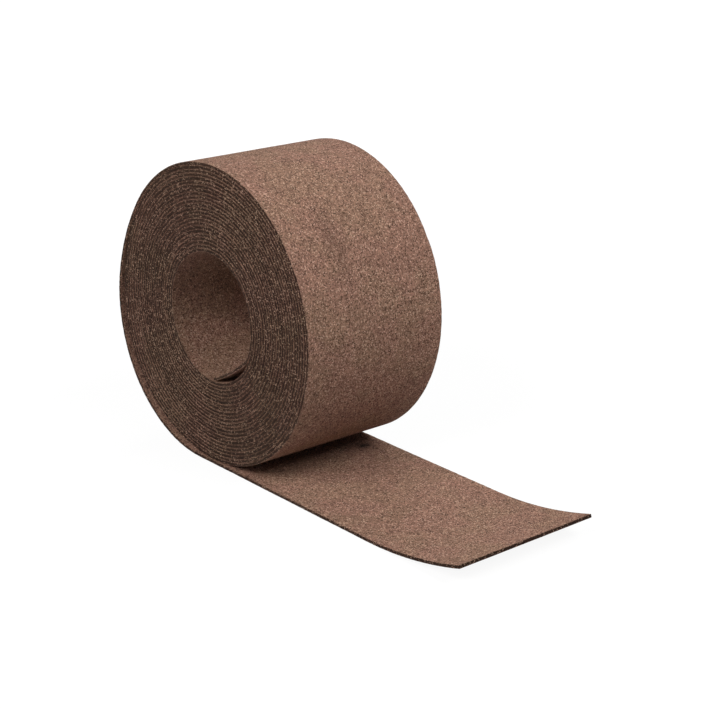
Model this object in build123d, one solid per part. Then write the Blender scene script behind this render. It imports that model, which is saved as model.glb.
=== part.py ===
from build123d import *
from math import asin, atan2, cos, degrees, radians, sin, sqrt
import os

# A part-used roll of sanded bitumen felt damp proof course: one strip wound on itself without a core.
# X runs along the loose tail, Y along the roll's axis, Z up, with the origin on the floor under the axis.

# Driving dimensions, in millimetres and degrees
strip_width = 110.0
strip_thickness = 2.0
turn_pitch = 2.4  # one turn with the sand and air that it holds
turns = 24
bore_radius = 42.0
turn_crown = 0.5  # how far the seam between two turns lies below the turns' edges
pressed_turns = 7  # the innermost turns are pressed together, with their edges level
resting_gap = 0.3  # the roll lies on its own tail with this much clearance
loose_from = 30.0  # angle up the roll's right side where the outer turn comes loose
shoulder_radius = 99.9  # the loose turn follows the roll over its top
shoulder_angle = 117.0
spring_radius = 134.0  # then springs away from its left side
spring_angle = 21.0
tail_flat = 155.0  # the tail lies on the floor from under the roll to here
curl_radius = 270.0  # then its end curls up
curl_angle = 17.3
run_out = 1.4  # the loose turn has slipped this far forward by the time it meets the floor
flap_root = -29.0  # the inner end is creased here and springs across the bore, to meet its wall again
flap_tip = -88.0
flap_radius = 150.0  # it keeps this slight bend
flap_anchor = 2.0  # length of the inner end that is buried in its own turn behind the crease

# The spiral is semicircles: the upper ones about the roll's axis, the lower ones half a pitch to the right
half_pitch = turn_pitch / 2
half_width = strip_width / 2
roll_radius = bore_radius + turns * turn_pitch
lower_bore = bore_radius - half_pitch
axis_height = strip_thickness + resting_gap + roll_radius - half_pitch
upper_centre = (0, 0, axis_height)
lower_centre = (half_pitch, 0, axis_height)

# The loose turn is tangent arcs: its flank comes down to the floor from where the spring ends
loose_cos = cos(radians(loose_from))
loose_sin = sin(radians(loose_from))
shoulder_sin = sin(radians(loose_from + shoulder_angle))
spring_sin = sin(radians(loose_from + shoulder_angle + spring_angle))
shoulder_height = axis_height - (shoulder_radius - roll_radius) * loose_sin
spring_height = shoulder_height - (spring_radius - shoulder_radius) * shoulder_sin
flank_start = spring_height + spring_radius * spring_sin
flank_radius = flank_start / (1 + spring_sin)
flank_angle = 270 - loose_from - shoulder_angle - spring_angle
loose_top = shoulder_height + shoulder_radius


def turn_section(inner_radius, count, pressed=1):
    """Section through turns lying side by side, with crowned edges, the pressed ones under one crown."""
    back = [(inner_radius, half_width - turn_crown)]
    for turn in range(1, count + 1):
        seam = inner_radius + turn * turn_pitch
        back.append((seam - half_pitch, half_width))
        if turn >= pressed:
            back.append((seam, half_width - turn_crown))
    front = [(radius, -across) for radius, across in reversed(back)]
    return make_face(Polyline(*back, *front, close=True))


def turned(section, centre, direction, angle):
    """Turn a section about the line along Y through a centre, from the right-hand side of the roll."""
    return revolve(Plane(centre) * section, Axis(centre, direction), angle)


def strip_side(inset):
    """One face of the loose outer turn and tail, set in from the outer face by a distance."""
    reach = roll_radius - inset
    start = (reach * loose_cos, axis_height + reach * loose_sin)
    shoulder = JernArc(start, (-loose_sin, loose_cos), shoulder_radius - inset, shoulder_angle)
    spring = JernArc(shoulder @ 1, shoulder % 1, spring_radius - inset, spring_angle)
    flank = JernArc(spring @ 1, spring % 1, flank_radius - inset, flank_angle)
    floor = Line(flank @ 1, (tail_flat, inset))
    curl = JernArc(floor @ 1, floor % 1, curl_radius - inset, curl_angle)
    return [shoulder, spring, flank, floor, curl]


def loose_turn():
    """The outer turn that has sprung off the roll, with the tail that lies on the floor."""
    outer = strip_side(0)
    inner = strip_side(strip_thickness)
    ends = [Line(outer[0] @ 0, inner[0] @ 0), Line(outer[-1] @ 1, inner[-1] @ 1)]
    profile = make_face(Plane.XZ * Curve(outer + inner + ends))
    blank = extrude(profile, half_width + run_out, both=True)
    edge_normal = (0, -loose_top, run_out)
    front = Plane((0, -half_width, loose_top), z_dir=edge_normal)
    back = Plane((0, half_width, loose_top), z_dir=edge_normal)
    return split(split(blank, front, Keep.BOTTOM), back, Keep.TOP)


def bore_point(angle):
    """A point of the innermost half turn's inner face, in X and Z."""
    reach = lower_bore * cos(radians(angle))
    rise = lower_bore * sin(radians(angle))
    return Vector(half_pitch + reach, axis_height + rise)


def inner_flap():
    """The strip's inner end, creased off the wall of the bore and standing across it as a shallow bow."""
    root, tip = bore_point(flap_root), bore_point(flap_tip)
    half_chord = (tip - root).length / 2
    to_axis = (tip - root).normalized().rotate(Axis.Z, -90)
    centre = (root + tip) / 2 + to_axis * sqrt(flap_radius**2 - half_chord**2)
    root_angle = degrees(atan2(root.Y - centre.Y, root.X - centre.X))
    bend = 2 * degrees(asin(half_chord / flap_radius))
    anchor = degrees(flap_anchor / flap_radius)
    inner = CenterArc(centre, flap_radius, root_angle + anchor, -bend - anchor)
    outer = CenterArc(centre, flap_radius + strip_thickness, root_angle + anchor, -bend - anchor)
    ends = [Line(inner @ 0, outer @ 0), Line(inner @ 1, outer @ 1)]
    profile = make_face(Plane.XZ * Curve([inner, outer] + ends))
    return extrude(profile, half_width, both=True)


upper_section = turn_section(bore_radius, turns - 1, pressed_turns)
lower_section = turn_section(lower_bore + turn_pitch, turns - 1, pressed_turns)
upper_turns = turned(upper_section, upper_centre, (0, -1, 0), 180)
lower_turns = turned(lower_section, lower_centre, (0, 1, 0), 180)
outer_sector = turned(turn_section(roll_radius - turn_pitch, 1), upper_centre, (0, -1, 0), loose_from)
inner_sector = turned(turn_section(lower_bore, 1), lower_centre, (0, 1, 0), -flap_root)

felt_strip = upper_turns + [lower_turns, outer_sector, inner_sector, inner_flap(), loose_turn()]
felt_strip.label = "felt_strip"

os.makedirs("parts", exist_ok=True)
export_step(felt_strip, "parts/felt_strip.step")
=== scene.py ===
import bpy
import numpy as np
from math import asin, atan2, ceil, cos, degrees, hypot, radians, sin, sqrt
from mathutils import Matrix, Vector, noise


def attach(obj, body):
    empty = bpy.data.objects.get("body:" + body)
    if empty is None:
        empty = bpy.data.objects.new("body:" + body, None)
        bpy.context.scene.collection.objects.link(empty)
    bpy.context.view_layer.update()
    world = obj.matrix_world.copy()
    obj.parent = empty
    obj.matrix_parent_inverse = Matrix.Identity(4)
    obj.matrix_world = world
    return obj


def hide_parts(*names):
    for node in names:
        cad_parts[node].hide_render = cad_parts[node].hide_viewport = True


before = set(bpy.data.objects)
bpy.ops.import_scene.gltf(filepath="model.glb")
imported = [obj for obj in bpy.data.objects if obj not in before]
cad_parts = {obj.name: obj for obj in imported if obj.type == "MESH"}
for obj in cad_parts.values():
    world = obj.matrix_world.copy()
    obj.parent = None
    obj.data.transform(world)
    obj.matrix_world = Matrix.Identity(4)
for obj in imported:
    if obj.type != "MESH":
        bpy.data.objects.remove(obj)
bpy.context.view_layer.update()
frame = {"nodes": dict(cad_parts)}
print("frame loaded:", ", ".join(frame["nodes"]))

# the strip, in metres and degrees; X along the tail, Y along the roll's axis, Z up
feltStrip = {
    "width": 0.1096,
    "thickness": 0.0022,
    "pitch": 0.0024,  # from one turn to the next
    "turns": 24,
    "boreRadius": 0.042,
    "tailSeat": 0.0023,  # height of the roll's lowest turn, which lies on the tail
    "looseFrom": 30.0,  # angle up the roll's right side where the outer turn comes loose
    "shoulder": (0.0999, 117.0),  # radius and angle of the loose turn over the top of the roll
    "spring": (0.134, 21.0),  # where it springs away from the roll's left side
    "tailFlat": 0.155,  # the tail lies flat to here, then curls up
    "curl": (0.270, 17.3),
    "runOut": 0.0014,  # how far forward the loose turn has slipped at the floor
    "flapRoot": -29.0,  # the inner end leaves the bore's wall here and meets it again at its tip
    "flapTip": -88.0,
    "flapRadius": 0.150,
    "woundStep": 0.0020,  # along the turns that lie inside the roll
    "openStep": 0.0018,  # along the faces that are open to view
    "openColumns": 60,  # across them
    "bevel": 0.00025,  # of the cut edges
    "edgeShare": 0.50,  # share of the thickness between the bevels
    "sharpAngle": 38.0,  # edges that bend more than this are shaded sharp
    "creaseEasing": (1, 1),  # rows each way and passes that round off the crease
    "looseEasing": (4, 8),  # and the place where the outer turn comes loose
    "telescope": 0.00018,  # how far the turns wander along the axis
    "swayLengths": (0.21, 0.06),  # of a long and a short wander
    "shortSway": 0.6,  # share of the short one
    "ragged": 0.00010,  # roughness of the cut edges
    "slack": 0.00006,  # how far the turns wander in and out
    "slackLength": 0.035,
    "sprung": 0.0045,  # how far the turns under the loose one have opened, less with each turn
    "sprungTurns": 8,
    "sprungAngles": (160.0, 264.0),  # between these angles round the roll
    "rimLine": 0.7,  # how clear the sand shows along the innermost turn's edges
    "wave": 0.00030,  # soft waves of the loose turn and the tail
    "waveLength": 0.040,
    "waveSlice": 0.3,  # place in the noise that they follow
    "waveFade": 30,  # rows over which they begin
    "grit": 0.00005,  # unevenness of the sanded faces
    "gritLength": 0.0042,
    "gritApart": 0.05,  # keeps the two faces' grit unlike
    "toneLength": 0.11,  # of the darker and lighter stretches
    "seed": 11,
}


def wander(distance, length, seed):
    # smooth random curve between -1 and 1, with a new value every length
    knots = np.random.RandomState(seed).uniform(-1, 1, int(distance.max() / length) + 2)
    low = (distance / length).astype(int)
    blend = distance / length - low
    blend = blend * blend * (3 - 2 * blend)
    return knots[low] * (1 - blend) + knots[low + 1] * blend


def arcPoints(centre, radius, start, sweep, step):
    count = ceil(radians(sweep) * radius / step)
    angles = np.radians(start + sweep * np.arange(1, count + 1) / count)
    return np.stack([centre[0] + radius * np.cos(angles), centre[1] + radius * np.sin(angles)], 1)


def linePoints(start, end, step):
    count = ceil(hypot(end[0] - start[0], end[1] - start[1]) / step)
    share = np.arange(1, count + 1)[:, None] / count
    return np.array(start) * (1 - share) + np.array(end) * share


def onCircle(centre, radius, angle):
    return np.array(centre) + radius * np.array([cos(radians(angle)), sin(radians(angle))])


def flapPoints(p, centre, inset):
    # the inner end bows across the bore between two points of its wall
    wallRadius = p["boreRadius"] - p["pitch"] / 2
    tip, root = onCircle(centre, wallRadius, p["flapTip"]), onCircle(centre, wallRadius, p["flapRoot"])
    chord = root - tip
    halfChord = np.linalg.norm(chord) / 2
    toAxis = np.array([-chord[1], chord[0]]) / (2 * halfChord)
    bowCentre = (tip + root) / 2 + toAxis * sqrt(p["flapRadius"] ** 2 - halfChord ** 2)
    start = degrees(atan2(*(tip - bowCentre)[::-1]))
    bend = 2 * degrees(asin(halfChord / p["flapRadius"]))
    radius = p["flapRadius"] + inset
    first = onCircle(bowCentre, radius, start)
    return np.vstack([first, arcPoints(bowCentre, radius, start, bend, p["openStep"])])


def stripRuns(p):
    # middle line of the strip seen along the axis, from its inner end to its outer end
    half, inset = p["pitch"] / 2, p["thickness"] / 2
    rollRadius = p["boreRadius"] + p["turns"] * p["pitch"]
    axis = p["tailSeat"] + rollRadius - half
    upper, lower = (0, axis), (half, axis)  # centres of the upper and the lower half turns
    openStep, woundStep = p["openStep"], p["woundStep"]

    middle = p["boreRadius"] + half  # of the innermost upper half turn
    bore = [
        arcPoints(lower, middle - half, p["flapRoot"], -p["flapRoot"], openStep),
        arcPoints(upper, middle, 0, 180, openStep),
        arcPoints(lower, middle + half, 180, 180, openStep),
    ]
    wound = []
    for _ in range(1, p["turns"] - 2):
        middle += p["pitch"]
        wound.append(arcPoints(upper, middle, 0, 180, woundStep))
        wound.append(arcPoints(lower, middle + half, 180, 180, woundStep))
    middle += p["pitch"]
    wound.append(arcPoints(upper, middle, 0, 180, woundStep))
    outer = [
        arcPoints(lower, middle + half, 180, 180, openStep),
        arcPoints(upper, middle + p["pitch"], 0, p["looseFrom"], openStep),
    ]

    # the loose turn is tangent arcs: over the roll's top, off its left side and down to the floor
    loose, angle = [], p["looseFrom"]
    centre, radius = upper, rollRadius
    for nextRadius, sweep in (p["shoulder"], p["spring"]):
        centre = onCircle(centre, radius - nextRadius, angle)
        radius = nextRadius
        loose.append(arcPoints(centre, radius - inset, angle, sweep, openStep))
        angle += sweep
    flankTop = centre[1] + radius * sin(radians(angle))
    flankRadius = flankTop / (1 + sin(radians(angle)))
    centre = onCircle(centre, radius - flankRadius, angle)
    loose.append(arcPoints(centre, flankRadius - inset, angle, 270 - angle, openStep))

    curlRadius, curlAngle = p["curl"]
    tail = [
        linePoints((centre[0], inset), (p["tailFlat"], inset), openStep),
        arcPoints((p["tailFlat"], curlRadius), curlRadius - inset, 270, curlAngle, openStep),
    ]
    runs = {"bore": bore, "wound": wound, "outer": outer, "loose": loose, "tail": tail}
    return {"flap": flapPoints(p, lower, inset)} | {name: np.vstack(run) for name, run in runs.items()}


def eased(line, row, reach, passes):
    # round off the line where two runs meet
    rows = np.arange(row - reach, row + reach)
    for _ in range(passes):
        line[rows] = (line[rows - 1] + 2 * line[rows] + line[rows + 1]) / 4


def openedShare(p, line):
    # the outermost turns have opened a little where the loose turn has left them
    first, last = p["sprungAngles"]
    rollRadius = p["boreRadius"] + p["turns"] * p["pitch"]
    fromAxis = line - (0, p["tailSeat"] + rollRadius - p["pitch"] / 2)
    angle = np.degrees(np.arctan2(fromAxis[:, 1], fromAxis[:, 0])) % 360
    window = np.sin(np.pi * np.clip((angle - first) / (last - first), 0, 1)) ** 2
    below = (rollRadius - np.linalg.norm(fromAxis, axis=1)) / p["pitch"]
    return window * np.clip(1 - below / p["sprungTurns"], 0, 1)


def stripPath(p):
    runs = stripRuns(p)
    starts = dict(zip(runs, np.cumsum([0] + [len(run) for run in runs.values()])))
    line = np.vstack(list(runs.values()))
    eased(line, starts["bore"], *p["creaseEasing"])
    eased(line, starts["loose"], *p["looseEasing"])
    tangent = np.gradient(line, axis=0)
    tangent /= np.linalg.norm(tangent, axis=1)[:, None]
    outward = np.stack([tangent[:, 1], -tangent[:, 0]], 1)
    along = np.append(0, np.cumsum(np.linalg.norm(np.diff(line, axis=0), axis=1)))

    seed = p["seed"]
    longSway, shortSway = (wander(along, length, seed + k) for k, length in enumerate(p["swayLengths"]))
    sideways = p["telescope"] * (longSway + p["shortSway"] * shortSway) / (1 + p["shortSway"])
    loose = slice(starts["loose"], None)
    sideways[loose] -= p["runOut"] * (1 - line[loose, 1] / line[:, 1].max())
    slack = p["slack"] * wander(along, p["slackLength"], seed + 2)
    slack[starts["outer"]:] = 0
    opened = openedShare(p, line)
    opened[loose] = 0
    line = line + outward * (slack + p["sprung"] * opened)[:, None]
    # how clear the sand shows along the cut edges, where -1 marks the tail's, whose edges get painted shade
    lined = opened.copy()
    lined[:starts["wound"]] = p["rimLine"]
    lined[starts["tail"]:] = -1
    path = {"line": line, "outward": outward, "along": along, "sideways": sideways}
    return path | {"starts": starts, "lined": lined}


def ringPlaces(p, innerColumns, outerColumns):
    # points round the strip's section: inner face, back edge, outer face, front edge
    corner = 1 - 2 * p["bevel"] / p["width"]
    inner = [(-1, across) for across in np.linspace(-corner, corner, innerColumns + 1)]
    outer = [(1, across) for across in np.linspace(corner, -corner, outerColumns + 1)]
    share = p["edgeShare"]
    return np.array(inner + [(-share, 1), (share, 1)] + outer + [(share, -1), (-share, -1)])


def ringSides(innerColumns, outerColumns):
    # side of the strip that each face round the ring belongs to; an edge is a flat between two bevels
    return np.repeat(["inner", "back", "outer", "front"], [innerColumns, 3, outerColumns, 3])


def layRows(p, path, rows, places, isOpen, rng):
    # points of some rows, with ragged edges, soft waves and, where the strip is open to view, grit
    along, line, outward = path["along"], path["line"], path["outward"]
    half, thick = p["width"] / 2, p["thickness"] / 2
    nearEdge = np.abs(places[:, 1]) > 1 - 2 * p["bevel"] / half  # cut edges and their bevels
    inward = -np.sign(places[:, 1]) * nearEdge
    ragged = rng.uniform(0, 2, (len(rows), len(places))) * p["ragged"] * inward
    lift = np.zeros((len(rows), len(places)))
    looseStart = path["starts"]["loose"]
    for i, row in enumerate(rows):
        fade = min(1.0, max(0.0, (row - looseStart) / p["waveFade"]))
        for k, (depth, across) in enumerate(places):
            spot = Vector((along[row], across * half, depth * p["gritApart"]))
            swell = noise.noise(Vector((spot.x, spot.y, p["waveSlice"])) / p["waveLength"])
            lift[i, k] = p["wave"] * fade * (swell - 1) / 2
            if isOpen:
                lift[i, k] += p["grit"] * (noise.noise(spot / p["gritLength"]) - 1)
    reach = places[:, 0] * thick + lift
    x = line[rows, 0][:, None] + outward[rows, 0][:, None] * reach
    z = line[rows, 1][:, None] + outward[rows, 1][:, None] * reach
    y = places[:, 1] * half + path["sideways"][rows][:, None] + ragged
    return np.stack([x, y, np.maximum(z, 0)], 2).reshape(-1, 3)


def bandFaces(first, rowCount, ringSize):
    base = first + np.arange(rowCount - 1)[:, None] * ringSize
    here = np.arange(ringSize)
    ahead = (here + 1) % ringSize
    quads = np.stack([base + here, base + ringSize + here, base + ringSize + ahead, base + ahead], 2)
    return quads.reshape(-1, 4).tolist()


def joinRings(before, after, sidesBefore, sidesAfter):
    # faces between two rings with different numbers of columns
    def span(ring, ringSide, side):
        at = np.flatnonzero(ringSide == side)
        return [ring[k % len(ring)] for k in range(at[0], at[-1] + 2)]

    faces, names = [], []
    for side in ("inner", "back", "outer", "front"):
        spanBefore, spanAfter = span(before, sidesBefore, side), span(after, sidesAfter, side)
        if len(spanBefore) == len(spanAfter):
            for k in range(len(spanBefore) - 1):
                faces.append([spanBefore[k], spanAfter[k], spanAfter[k + 1], spanBefore[k + 1]])
                names.append(side)
        else:
            faces.append(spanAfter + spanBefore[::-1])
            names.append(side)
    return faces, names


def capFaces(ring, columns, isStart):
    # close an end of the strip where both faces have the same number of columns
    last = len(ring) - 3  # outer face's front corner
    faces = [[ring[k], ring[k + 1], ring[last - k - 1], ring[last - k]] for k in range(columns)]
    faces.append(ring[columns:columns + 4])
    faces.append([ring[last], ring[last + 1], ring[last + 2], ring[0]])
    return [face[::-1] for face in faces] if isStart else faces


def stripMesh(p):
    path = stripPath(p)
    starts, rowCount = path["starts"], len(path["line"])
    many, one = p["openColumns"], 1
    # first row, end row and columns on the inner and the outer face; the end rows have the same on both
    stretches = [
        (0, 1, many, many),  # tip of the inner end
        (1, starts["wound"], many, one),  # inner end and bore
        (starts["wound"], starts["outer"], one, one),  # hidden turns
        (starts["outer"], starts["tail"], one, many),  # wall
        (starts["tail"], rowCount - 1, many, one),  # tail
        (rowCount - 1, rowCount, many, many),  # its tip
    ]
    rng = np.random.RandomState(p["seed"] + 3)
    vertices, faces, sides, placed, rowOf = [], [], [], [], []
    previous, first = None, 0
    for begin, end, innerColumns, outerColumns in stretches:
        rows = np.arange(begin, end)
        places = ringPlaces(p, innerColumns, outerColumns)
        ringSide = ringSides(innerColumns, outerColumns)
        isOpen = max(innerColumns, outerColumns) > one
        vertices.append(layRows(p, path, rows, places, isOpen, rng))
        placed.append(np.tile(places, (len(rows), 1)))
        rowOf.append(np.repeat(rows, len(places)))
        ring = list(range(first, first + len(places)))
        if previous is None:
            new = capFaces(ring, innerColumns, True)
            names = ["cap"] * len(new)
        else:
            new, names = joinRings(previous[0], ring, previous[1], ringSide)
        faces += new + bandFaces(first, len(rows), len(places))
        sides += names + list(np.tile(ringSide, len(rows) - 1))
        first += len(rows) * len(places)
        previous = (list(range(first - len(places), first)), ringSide)
    new = capFaces(previous[0], many, False)
    faces += new
    sides += ["cap"] * len(new)
    strip = {"vertices": np.vstack(vertices), "faces": faces, "sides": np.array(sides)}
    return strip | {"placed": np.vstack(placed), "rowOf": np.hstack(rowOf), "path": path}


# places of the strip's faces on a flat sheet, in metres from its corner
flatSheet = {
    "side": 0.545,
    "frontEnd": (0.106, 0.001),
    "backEnd": (0.315, 0.001),
    "bore": (0.0, 0.204),
    "wall": ((0.0, 0.316), (0.0, 0.428)),  # two runs
    "tailTop": (0.424, 0.0),
    "tailUnder": (0.395, 0.255),
    "looseInside": (0.455, 0.255),
    "tailEdges": {"front": (0.516, 0.255), "back": (0.521, 0.255)},
    "tips": {"first": (0.380, 0.204), "last": (0.386, 0.204)},
    "hidden": (0.345, 0.210),
    "hiddenSize": 0.020,
    "narrowed": 0.5,  # the underside and the loose turn's inside take less room
    "shortened": 0.69,
}


def layFlat(p, sheet, strip):
    # a map of the strip for texture baking, on which the faces that are open to view have the room
    faces, sides, rowOf, path = (strip[key] for key in ("faces", "sides", "rowOf", "path"))
    starts, along = path["starts"], path["along"]
    point = np.concatenate(faces)
    faceOf = np.repeat(np.arange(len(faces)), [len(face) for face in faces])
    faceRow = np.array([rowOf[face].min() for face in faces])
    inBore, isLoose = faceRow < starts["wound"], faceRow >= starts["loose"]
    inTail = faceRow >= starts["tail"] - 1
    onWall = (sides == "outer") & (faceRow >= starts["outer"]) & ~inTail
    wallMiddle = (starts["outer"] + starts["tail"]) // 2
    x, _, z = strip["vertices"][point].T
    depth, across = strip["placed"][point].T
    width = p["width"] * (across + 1) / 2
    thick = p["thickness"] * (depth + 1) / 2
    narrow = width * sheet["narrowed"]
    flat = np.empty((len(point), 2))

    def put(chosen, corner, right, up):
        here = chosen[faceOf]
        flat[here] = corner + np.stack([right, up], 1)[here]

    def since(start):
        return along[rowOf[point]] - along[start]

    step = sheet["hiddenSize"]
    everywhere = np.ones(len(faces), bool)
    put(everywhere, sheet["hidden"], (across + 1) / 2 * step, rowOf[point] % 2 * step)
    for side in ("front", "back"):
        put((sides == side) & ~inTail, sheet[side + "End"], x, z)
        put((sides == side) & inTail, sheet["tailEdges"][side], thick, since(starts["tail"]))
    put((sides == "inner") & inBore, sheet["bore"], since(starts["flap"]), width)
    put(onWall & (faceRow < wallMiddle), sheet["wall"][0], since(starts["outer"]), width)
    put(onWall & (faceRow >= wallMiddle), sheet["wall"][1], since(wallMiddle), width)
    looseLength = since(starts["loose"]) * sheet["shortened"]
    put((sides == "inner") & isLoose & ~inTail, sheet["looseInside"], narrow, looseLength)
    put((sides == "inner") & inTail, sheet["tailTop"], width, since(starts["tail"]))
    put((sides == "outer") & inTail, sheet["tailUnder"], narrow, since(starts["tail"]))
    put((sides == "cap") & ~inTail, sheet["tips"]["first"], thick, width)
    put((sides == "cap") & inTail, sheet["tips"]["last"], thick, width)
    return flat / sheet["side"]


def buildStrip(p):
    strip = stripMesh(p)
    faces, rowOf, path = strip["faces"], strip["rowOf"], strip["path"]
    mesh = bpy.data.meshes.new("feltStrip")
    mesh.from_pydata(strip["vertices"].tolist(), [], faces)
    mesh.update()
    isEdge = ~np.isin(strip["sides"], ("inner", "outer"))
    mesh.polygons.foreach_set("material_index", isEdge.astype(np.int32))
    mesh.polygons.foreach_set("use_smooth", np.ones(len(faces), bool))
    mesh.set_sharp_from_angle(angle=radians(p["sharpAngle"]))
    flat = layFlat(p, flatSheet, strip)
    mesh.uv_layers.new(name="OFBake").data.foreach_set("uv", flat.ravel())
    # how deep in the thickness a point lies, how dark its stretch is and how clear the sand along its edges
    tone = wander(path["along"], p["toneLength"], p["seed"] + 4)
    measures = {"depth": strip["placed"][:, 0], "stretchTone": tone[rowOf], "lined": path["lined"][rowOf]}
    for name, values in measures.items():
        mesh.attributes.new(name, "FLOAT", "POINT").data.foreach_set("value", values.astype(np.float32))
    piece = bpy.data.objects.new("feltStrip", mesh)
    bpy.context.collection.objects.link(piece)
    triangles = sum(len(face) - 2 for face in faces)
    print("strip built:", round(float(path["along"][-1]), 2), "m long,", triangles, "triangles")
    return piece


def newGroup(name, inputs, outputs):
    group = bpy.data.node_groups.new(name, "ShaderNodeTree")
    for label, kind in inputs:
        group.interface.new_socket(label, in_out="INPUT", socket_type=kind)
    for label, kind in outputs:
        group.interface.new_socket(label, in_out="OUTPUT", socket_type=kind)
    return group


def addNode(tree, kind, **settings):
    node = tree.nodes.new(kind)
    for key, value in settings.items():
        setattr(node, key, value)
    return node


def feed(tree, socket, source):
    # a socket takes a link or a plain value
    if isinstance(source, bpy.types.NodeSocket):
        tree.links.new(source, socket)
    else:
        socket.default_value = source


def mixColors(tree, share, first, second, blend="MIX"):
    node = addNode(tree, "ShaderNodeMix", data_type="RGBA", blend_type=blend)
    # the sockets that this node has for colours
    for socket, source in zip((node.inputs[0], node.inputs[6], node.inputs[7]), (share, first, second)):
        feed(tree, socket, source)
    return node.outputs[2]


def ranged(tree, value, low, high, newLow=0.0, newHigh=1.0):
    node = addNode(tree, "ShaderNodeMapRange", interpolation_type="SMOOTHSTEP")
    for socket, source in zip(node.inputs, (value, low, high, newLow, newHigh)):
        feed(tree, socket, source)
    return node.outputs[0]


def calculate(tree, operation, *terms):
    node = addNode(tree, "ShaderNodeMath", operation=operation)
    for socket, term in zip(node.inputs, terms):
        feed(tree, socket, term)
    return node.outputs[0]


def cellsOf(tree, place, scale):
    cells = addNode(tree, "ShaderNodeTexVoronoi")
    feed(tree, cells.inputs["Vector"], place)
    feed(tree, cells.inputs["Scale"], scale)
    parts = addNode(tree, "ShaderNodeSeparateColor")
    feed(tree, parts.inputs[0], cells.outputs["Color"])
    return cells.outputs["Distance"], parts.outputs


def cloudOf(tree, place, scale, detail=2.0):
    cloud = addNode(tree, "ShaderNodeTexNoise")
    for label, source in (("Vector", place), ("Scale", scale), ("Detail", detail)):
        feed(tree, cloud.inputs[label], source)
    return cloud.outputs["Fac"]


# how the grains are made, on every sanded surface
grains = {
    "finer": 1.9,  # how many times smaller the grains between the grains are
    "toneDepth": 0.5,  # how far a grain may darken towards bitumen
    "cover": 0.8,  # how fully bare and pale grains show
    "fineTones": (0.7, 1.3),
    "tintScale": 30.0,
    "tintRange": (0.4, 0.6),
    "tints": ((1.015, 0.985, 0.985, 1), (0.985, 1.01, 0.965, 1)),
    "patchScale": 150.0,
    "patchDetail": 3.0,
    "patchMiddle": 0.5,  # where a patch is neither darker nor lighter
    "fineRelief": 0.4,
    "bareRelief": -0.35,
}


def sandCoatGroup(p):
    # sand grains bedded in bitumen: colour of each grain, soft stains and the grains' relief
    colours = [(label, "NodeSocketColor") for label in ("Bitumen", "Sand", "Pale Grain")]
    numbers = [(label, "NodeSocketFloat") for label in ("Grain Scale", "Bare", "Pale", "Mottle")]
    results = [("Color", "NodeSocketColor"), ("Height", "NodeSocketFloat")]
    group = newGroup("sandCoat", colours + numbers, results)
    given = addNode(group, "NodeGroupInput").outputs
    place = addNode(group, "ShaderNodeTexCoord").outputs["Object"]
    distance, parts = cellsOf(group, place, given["Grain Scale"])
    fineScale = calculate(group, "MULTIPLY", given["Grain Scale"], p["finer"])
    fineDistance, fineParts = cellsOf(group, place, fineScale)

    # each grain has its own tone, some are bare bitumen and some are pale
    bare = calculate(group, "LESS_THAN", parts[0], given["Bare"])
    pale = calculate(group, "LESS_THAN", parts[1], given["Pale"])
    tone = ranged(group, parts[2], 0.0, 1.0, 0.0, p["toneDepth"])
    colour = mixColors(group, tone, given["Sand"], given["Bitumen"])
    colour = mixColors(group, calculate(group, "MULTIPLY", bare, p["cover"]), colour, given["Bitumen"])
    colour = mixColors(group, calculate(group, "MULTIPLY", pale, p["cover"]), colour, given["Pale Grain"])
    fine = ranged(group, fineParts[0], 0.0, 1.0, *p["fineTones"])
    colour = mixColors(group, 1.0, colour, fine, "MULTIPLY")

    # pinkish and olive clouds, and patches with more or less sand
    tint = ranged(group, cloudOf(group, place, p["tintScale"]), *p["tintRange"])
    colour = mixColors(group, 1.0, colour, mixColors(group, tint, *p["tints"]), "MULTIPLY")
    patch = cloudOf(group, place, p["patchScale"], p["patchDetail"])
    patch = calculate(group, "SUBTRACT", patch, p["patchMiddle"])
    patch = calculate(group, "MULTIPLY_ADD", patch, given["Mottle"], 1.0)
    colour = mixColors(group, 1.0, colour, patch, "MULTIPLY")

    dome = calculate(group, "SUBTRACT", 1.0, distance)
    fineDome = calculate(group, "SUBTRACT", 1.0, fineDistance)
    height = calculate(group, "MULTIPLY_ADD", fineDome, p["fineRelief"], dome)
    height = calculate(group, "MULTIPLY_ADD", bare, p["bareRelief"], height)
    result = addNode(group, "NodeGroupOutput")
    feed(group, result.inputs["Color"], colour)
    feed(group, result.inputs["Height"], height)
    return group


def sandedShader(name, coat, look):
    material = bpy.data.materials.new(name)
    material.use_nodes = True
    tree = material.node_tree
    shader = tree.nodes["Principled BSDF"]
    sand = addNode(tree, "ShaderNodeGroup", node_tree=coat)
    for label, value in look["sand"].items():
        sand.inputs[label].default_value = value
    relief = addNode(tree, "ShaderNodeBump")
    relief.inputs["Strength"].default_value = look["bump"]
    relief.inputs["Distance"].default_value = look["reliefDepth"]
    feed(tree, shader.inputs["Base Color"], sand.outputs["Color"])
    feed(tree, relief.inputs["Height"], sand.outputs["Height"])
    feed(tree, shader.inputs["Normal"], relief.outputs["Normal"])
    shader.inputs["Roughness"].default_value = look["roughness"]
    shader.inputs["Specular IOR Level"].default_value = look["specular"]
    return material, tree, sand


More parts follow.
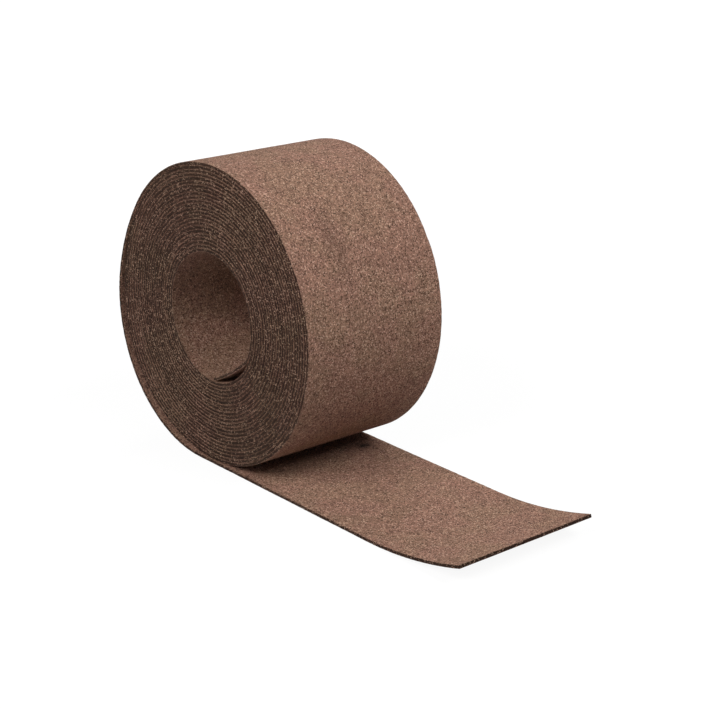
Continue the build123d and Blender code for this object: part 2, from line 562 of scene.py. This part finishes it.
# sanded faces of the strip
sandedFace = {
    "sand": {
        "Bitumen": (0.0665, 0.037, 0.0266, 1),
        "Sand": (0.347, 0.197, 0.141, 1),
        "Pale Grain": (0.55, 0.356, 0.266, 1),
        "Grain Scale": 1400.0,
        "Bare": 0.18,
        "Pale": 0.11,
        "Mottle": 0.5,
    },
    "marks": (  # place, reach and darkness
        ((0.079, -0.0185, 0.160), (0.036, 0.010, 0.036), 0.27),  # a rubbed patch on the wall
        ((0.0455, 0.0367, 0.002), (0.005, 0.005, 0.003), 0.85),  # a speck of dirt on the tail
    ),
    "markGrain": 90.0,  # scale and strength of their frayed outlines, and where they begin and end
    "markFray": 1.6,
    "markEdge": (0.7, 2.0),
    "bump": 1.0,
    "reliefDepth": 0.0003,
    "roughness": 0.92,
    "specular": 0.12,
}

# cut edges: dark felt core with a line of sand along each face
cutEdge = {
    "sand": {
        "Bitumen": (0.0155, 0.0085, 0.006, 1),
        "Pale Grain": (0.37, 0.237, 0.173, 1),
        "Grain Scale": 1450.0,
        "Bare": 0.20,
        "Pale": 0.09,
        "Mottle": 0.6,
    },
    "coreColor": (0.047, 0.025, 0.0175, 1),
    "lineColor": (0.255, 0.144, 0.102, 1),
    "lineStart": 0.58,  # share of the half thickness where the sand begins
    "lineEnd": 0.85,
    "breakScale": 750.0,  # where the line is broken
    "breakRange": (0.34, 0.54),
    "toneRange": (0.78, 1.22),  # of the darker and lighter stretches
    "tailEdgePaintedShade": 0.9,  # painted shade that makes the tail's edges a little darker
    "bump": 0.6,
    "reliefDepth": 0.0004,
    "roughness": 0.9,
    "specular": 0.08,
}


def sandedMaterial(coat, look):
    material, tree, sand = sandedShader("sandedFace", coat, look)
    place = addNode(tree, "ShaderNodeTexCoord").outputs["Object"]
    fray = cloudOf(tree, place, look["markGrain"])
    colour = sand.outputs["Color"]
    for centre, size, darkness in look["marks"]:
        offset = addNode(tree, "ShaderNodeVectorMath", operation="SUBTRACT")
        feed(tree, offset.inputs[0], place)
        feed(tree, offset.inputs[1], centre)
        scaled = addNode(tree, "ShaderNodeVectorMath", operation="DIVIDE")
        feed(tree, scaled.inputs[0], offset.outputs[0])
        feed(tree, scaled.inputs[1], size)
        reach = addNode(tree, "ShaderNodeVectorMath", operation="LENGTH")
        feed(tree, reach.inputs[0], scaled.outputs[0])
        frayed = calculate(tree, "MULTIPLY_ADD", fray, look["markFray"], reach.outputs["Value"])
        shade = ranged(tree, frayed, *look["markEdge"], 1 - darkness, 1.0)
        colour = mixColors(tree, 1.0, colour, shade, "MULTIPLY")
    feed(tree, tree.nodes["Principled BSDF"].inputs["Base Color"], colour)
    return material


def cutEdgeMaterial(coat, look):
    material, tree, sand = sandedShader("cutEdge", coat, look)
    depth = addNode(tree, "ShaderNodeAttribute", attribute_name="depth").outputs["Fac"]
    tone = addNode(tree, "ShaderNodeAttribute", attribute_name="stretchTone").outputs["Fac"]
    place = addNode(tree, "ShaderNodeTexCoord").outputs["Object"]
    layer = ranged(tree, calculate(tree, "ABSOLUTE", depth), look["lineStart"], look["lineEnd"])
    broken = ranged(tree, cloudOf(tree, place, look["breakScale"]), *look["breakRange"])
    lined = addNode(tree, "ShaderNodeAttribute", attribute_name="lined").outputs["Fac"]
    line = calculate(tree, "MULTIPLY", layer, calculate(tree, "MAXIMUM", broken, lined))
    colour = mixColors(tree, line, look["coreColor"], look["lineColor"])
    shade = ranged(tree, tone, -1.0, 1.0, *look["toneRange"])
    feed(tree, sand.inputs["Sand"], mixColors(tree, 1.0, colour, shade, "MULTIPLY"))
    # painted shade on the tail's cut edges, where lined is -1
    tailEdgePaintedShade = ranged(tree, lined, -1.0, 0.0, look["tailEdgePaintedShade"], 1.0)
    colour = mixColors(tree, 1.0, sand.outputs["Color"], tailEdgePaintedShade, "MULTIPLY")
    feed(tree, tree.nodes["Principled BSDF"].inputs["Base Color"], colour)
    return material


piece = buildStrip(feltStrip)
sandCoat = sandCoatGroup(grains)
piece.data.materials.append(sandedMaterial(sandCoat, sandedFace))
piece.data.materials.append(cutEdgeMaterial(sandCoat, cutEdge))
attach(piece, "root")
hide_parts("felt_strip")
print("materials made")

# plain studio: pale floor, even sky, soft lamps
studio = {
    "floorSize": 8.0,
    "floorColor": 0.46,  # light that the floor gives back to the object
    "floorGlow": (0.92, 1.0),  # what is seen of the floor is mostly this, near the object and away from it
    "glowReach": (0.3, 0.9),  # distances between which it changes
    "shadowShare": 0.25,  # the rest takes the object's shadow
    "floorRoughness": 0.9,
    "sky": 0.08,
    "aim": (0.03, 0.0, 0.08),
    "lights": {
        "frontLight": {"place": (0.2, -1.4, 1.3), "size": 1.0, "power": 23.2},
        "lowFrontLight": {"place": (-0.2, -1.7, 0.5), "size": 1.0, "power": 5.1},
        "rightLight": {"place": (1.2, 0.4, 1.5), "size": 1.0, "power": 20.8},
        "backLight": {"place": (-0.9, 1.2, 1.4), "size": 1.0, "power": 8.5},
    },
}


def seenDirectly(tree):
    # 1 for what the camera sees, in mirrors and through glass too
    path = addNode(tree, "ShaderNodeLightPath").outputs
    reflected = calculate(tree, "MAXIMUM", path["Is Glossy Ray"], path["Is Transmission Ray"])
    return calculate(tree, "MAXIMUM", path["Is Camera Ray"], reflected)


def buildFloor(p):
    half = p["floorSize"] / 2
    mesh = bpy.data.meshes.new("floor")
    corners = [(-half, -half, 0), (half, -half, 0), (half, half, 0), (-half, half, 0)]
    mesh.from_pydata(corners, [], [(0, 1, 2, 3)])
    floor = bpy.data.objects.new("floor", mesh)
    bpy.context.collection.objects.link(floor)
    material = bpy.data.materials.new("paleFloor")
    material.use_nodes = True
    tree = material.node_tree
    shader = tree.nodes["Principled BSDF"]
    shader.inputs["Base Color"].default_value = (p["floorColor"],) * 3 + (1,)
    shader.inputs["Roughness"].default_value = p["floorRoughness"]
    shader.inputs["Specular IOR Level"].default_value = 0.0
    glow = addNode(tree, "ShaderNodeEmission")
    distance = addNode(tree, "ShaderNodeVectorMath", operation="LENGTH")
    feed(tree, distance.inputs[0], addNode(tree, "ShaderNodeTexCoord").outputs["Object"])
    glowShare = 1 - p["shadowShare"]
    near, far = (strength / glowShare for strength in p["floorGlow"])
    feed(tree, glow.inputs["Strength"], ranged(tree, distance.outputs["Value"], *p["glowReach"], near, far))
    seen = addNode(tree, "ShaderNodeMixShader")
    feed(tree, seen.inputs[0], calculate(tree, "MULTIPLY", seenDirectly(tree), glowShare))
    feed(tree, seen.inputs[1], shader.outputs[0])
    feed(tree, seen.inputs[2], glow.outputs[0])
    feed(tree, tree.nodes["Material Output"].inputs["Surface"], seen.outputs[0])
    mesh.materials.append(material)


def buildSky(p):
    world = bpy.data.worlds.new("studio")
    world.use_nodes = True
    bpy.context.scene.world = world
    tree = world.node_tree
    light = tree.nodes["Background"]
    light.inputs["Color"].default_value = (1, 1, 1, 1)
    # white where it is seen, dim where it lights the object
    direct = seenDirectly(tree)
    rest = calculate(tree, "MULTIPLY", calculate(tree, "SUBTRACT", 1.0, direct), p["sky"])
    feed(tree, light.inputs["Strength"], calculate(tree, "ADD", direct, rest))


def buildLights(p):
    for name, light in p["lights"].items():
        lamp = bpy.data.lights.new(name, "AREA")
        lamp.shape = "DISK"
        lamp.size = light["size"]
        lamp.energy = light["power"]
        holder = bpy.data.objects.new(name, lamp)
        holder.location = light["place"]
        holder.rotation_euler = (Vector(p["aim"]) - holder.location).to_track_quat("-Z", "Y").to_euler()
        bpy.context.collection.objects.link(holder)


# camera at the photograph's viewing angle
viewpoint = {
    "azimuth": 49.284,
    "elevation": 19.367,
    "roll": 0.612,
    "lens": 90.04,
    "sensor": 36.0,
    "distance": 1.1677,
    "aim": (0.0409, 0.0320, 0.0671),
}


def buildCamera(p):
    azimuth, elevation, roll = (radians(p[key]) for key in ("azimuth", "elevation", "roll"))
    back = Vector((sin(azimuth) * cos(elevation), -cos(azimuth) * cos(elevation), sin(elevation)))
    right = Vector((cos(azimuth), sin(azimuth), 0))
    up = back.cross(right)
    tiltedRight = right * cos(roll) + up * sin(roll)
    tiltedUp = up * cos(roll) - right * sin(roll)
    lens = bpy.data.cameras.new("camera")
    lens.lens = p["lens"]
    lens.sensor_width = p["sensor"]
    camera = bpy.data.objects.new("camera", lens)
    turn = Matrix((tiltedRight, tiltedUp, back)).transposed().to_4x4()
    camera.matrix_world = Matrix.Translation(Vector(p["aim"]) + back * p["distance"]) @ turn
    bpy.context.collection.objects.link(camera)
    bpy.context.scene.camera = camera


buildFloor(studio)
buildSky(studio)
buildLights(studio)
buildCamera(viewpoint)
bpy.context.scene.view_settings.view_transform = "Standard"
print("studio and camera set")
